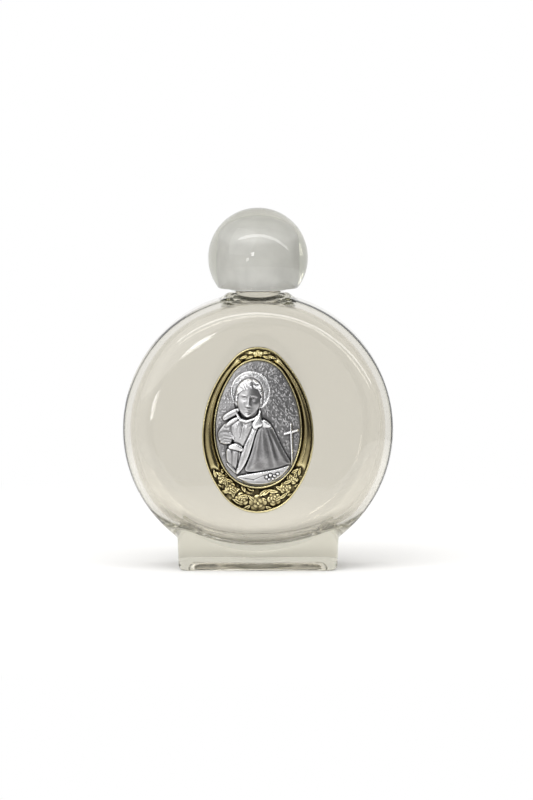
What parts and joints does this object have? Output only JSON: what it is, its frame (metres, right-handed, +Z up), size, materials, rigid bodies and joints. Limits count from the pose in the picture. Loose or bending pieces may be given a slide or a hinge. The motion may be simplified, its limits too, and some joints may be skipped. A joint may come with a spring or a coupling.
{
  "type": "holy water bottle",
  "caption": "Round flat glass flask on a block foot, with a screw cap under a clear ball and an oval saint's medal in a gilt frame on its front face, for holding holy water.",
  "frame": {"origin": "centre of the foot's underside, on the table", "axes": "+Z up along the neck, -Y out of the front face that carries the medal, +X to the viewer's right"},
  "size_m": [0.0594, 0.028, 0.0792],
  "materials": {
    "flask_glass": "clear glass with a faint warm grey tint",
    "clear_acrylic": "polished clear plastic",
    "sleeve_plastic": "natural moulded plastic",
    "seal_foam": "white foamed sealing disc",
    "adhesive": "thin pad of clear glue",
    "gilt_metal": "stamped and gilt, darkened in the hollows",
    "silvered_metal": "struck in relief, silvered and oxidised in the hollows"
  },
  "bodies": {
    "bottle": {"glass_bottle": "flask_glass", "medal_adhesive_pad": "adhesive", "medal_frame": "gilt_metal", "medal_plaque": "silvered_metal"},
    "cap_seal": {"cap_sealing_disc": "seal_foam"},
    "cap": {"cap_ball": "clear_acrylic", "cap_thread_sleeve": "sleeve_plastic"}
  },
  "joints": [
    {"name": "cap_lift", "type": "slide", "parent": "bottle", "child": "cap_seal", "axis": [0, 0, 1], "range_m": [0, 0.015]},
    {"name": "cap_turn", "type": "hinge", "parent": "cap_seal", "child": "cap", "pos_m": [0, 0, 0.0682], "axis": [0, 0, 1], "range_deg": [0, 1800]}
  ],
  "couplings": [
    {"joint": "cap_lift", "follows": "cap_turn", "m_per_rad": 0.00047746}
  ]
}
